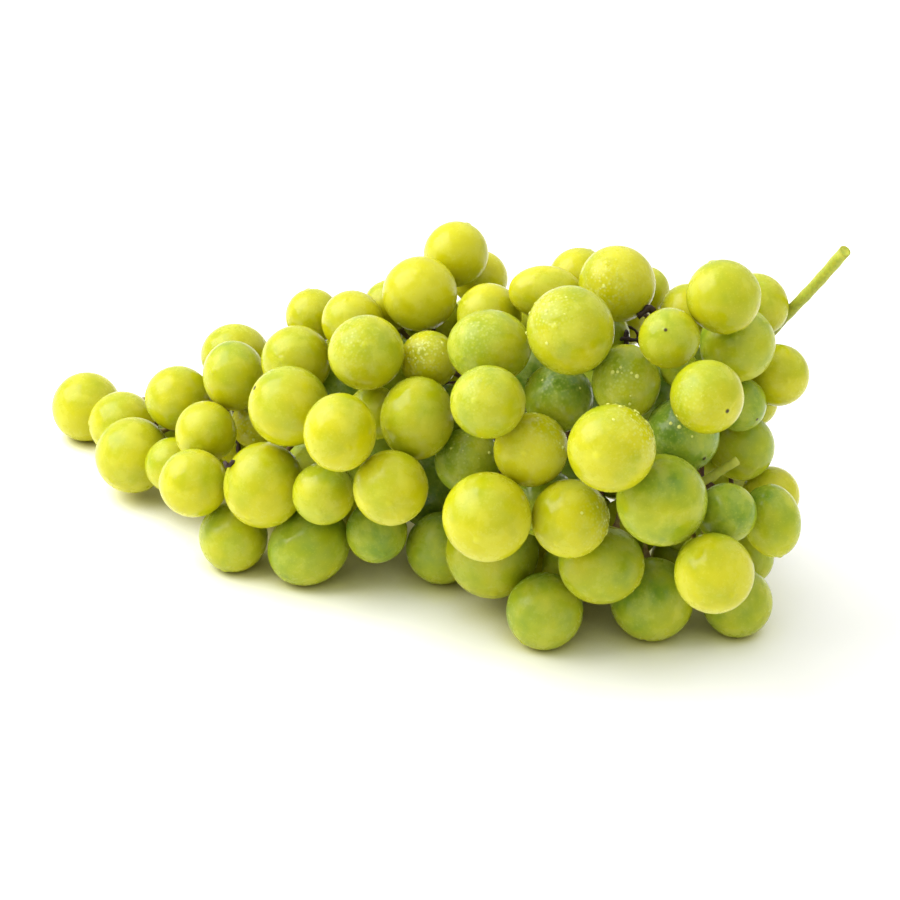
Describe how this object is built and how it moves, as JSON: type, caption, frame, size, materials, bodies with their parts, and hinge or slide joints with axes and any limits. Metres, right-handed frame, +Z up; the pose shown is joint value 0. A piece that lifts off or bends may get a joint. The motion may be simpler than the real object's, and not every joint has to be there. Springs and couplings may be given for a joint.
{
  "type": "bunch of grapes",
  "caption": "Bunch of round green grapes lying on its side, tapering to one end, with a short green stalk rising at the wide end.",
  "frame": {"origin": "on the table, below the middle of the whole box round the bunch", "axes": "+X along the bunch from its narrow tip to the stalk end, +Z up from the table, +Y away from the side shown"},
  "size_m": [0.2289, 0.1078, 0.1009],
  "materials": {
    "grape_skin": null,
    "green_stalk": "matt green stalk"
  },
  "bodies": {
    "root": {"spray_01": "grape_skin", "spray_02": "grape_skin", "spray_03": "grape_skin", "spray_04": "grape_skin", "spray_05": "grape_skin", "spray_06": "grape_skin", "spray_07": "grape_skin", "spray_08": "grape_skin", "spray_09": "grape_skin", "spray_10": "grape_skin", "spray_11": "grape_skin", "spray_12": "grape_skin", "spray_13": "grape_skin", "stem": "green_stalk"}
  },
  "joints": []
}
